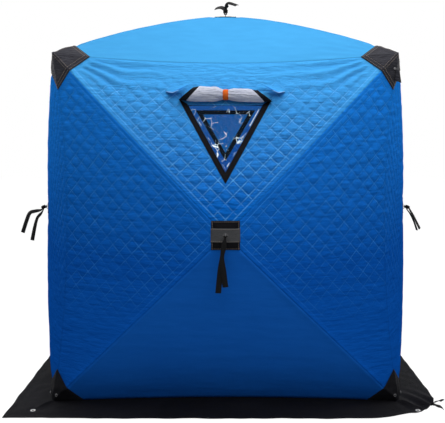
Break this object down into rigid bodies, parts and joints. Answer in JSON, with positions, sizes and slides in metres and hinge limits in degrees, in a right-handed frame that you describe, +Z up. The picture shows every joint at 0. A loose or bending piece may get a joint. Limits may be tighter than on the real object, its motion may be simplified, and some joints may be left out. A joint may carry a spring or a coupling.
{
  "type": "ice fishing shelter",
  "caption": "Square pop-up fabric shelter on bowed hub poles, with a snow skirt, triangular windows and pull straps, open at the bottom for fishing through ice.",
  "frame": {"origin": "on the ground in the middle of the shelter's footprint", "axes": "+Z up, -Y out of the front wall with the rolled-up window, +X to the right seen from the front"},
  "size_m": [2.6463, 2.4094, 2.2607],
  "materials": {
    "roof_cloth": "plain woven cloth",
    "quilted_cloth": "quilted woven cloth",
    "lower_cloth": "plain woven cloth",
    "black_cloth": "coated cloth",
    "grey_webbing": "woven webbing",
    "black_webbing": "woven webbing",
    "white_lining": "quilted lining",
    "orange_tie": "woven tape",
    "clear_pane": "clear flexible film",
    "fibreglass": "smooth rod",
    "black_plastic": "moulded",
    "metal": "plated"
  },
  "bodies": {
    "root": {"front_upper_panel": "quilted_cloth", "front_right_panel": "quilted_cloth", "front_lower_panel": "lower_cloth", "front_left_panel": "quilted_cloth", "right_upper_panel": "quilted_cloth", "right_right_panel": "quilted_cloth", "right_lower_panel": "lower_cloth", "right_left_panel": "quilted_cloth", "back_upper_panel": "quilted_cloth", "back_right_panel": "quilted_cloth", "back_lower_panel": "lower_cloth", "back_door_panel": "quilted_cloth", "left_upper_panel": "quilted_cloth", "left_right_panel": "quilted_cloth", "left_lower_panel": "lower_cloth", "left_left_panel": "quilted_cloth", "roof_front_panel": "roof_cloth", "roof_right_panel": "roof_cloth", "roof_back_panel": "roof_cloth", "roof_left_panel": "roof_cloth", "wall_poles": "fibreglass", "roof_poles": "fibreglass", "pole_hubs": "black_plastic", "corner_sockets": "black_plastic", "hub_patches": "black_cloth", "hub_webbing_bands": "grey_webbing", "hub_eyes": "metal", "top_corner_caps": "black_cloth", "bottom_corner_caps": "black_cloth", "front_skirt": "black_cloth", "right_skirt": "black_cloth", "back_skirt": "black_cloth", "left_skirt": "black_cloth", "skirt_eyelets": "metal", "front_window_pane": "clear_pane", "front_window_tape": "black_cloth", "front_flap_hem": "black_cloth", "front_window_roll": "white_lining", "front_roll_tie": "orange_tie", "closed_window_panes": "clear_pane", "closed_window_tapes": "black_cloth", "closed_window_flaps": "quilted_cloth", "back_door_zip": "black_cloth", "front_pull_strap": "black_webbing", "right_pull_strap": "black_webbing", "back_pull_strap": "black_webbing", "left_pull_strap": "black_webbing", "roof_pull_strap": "black_webbing"}
  },
  "joints": []
}
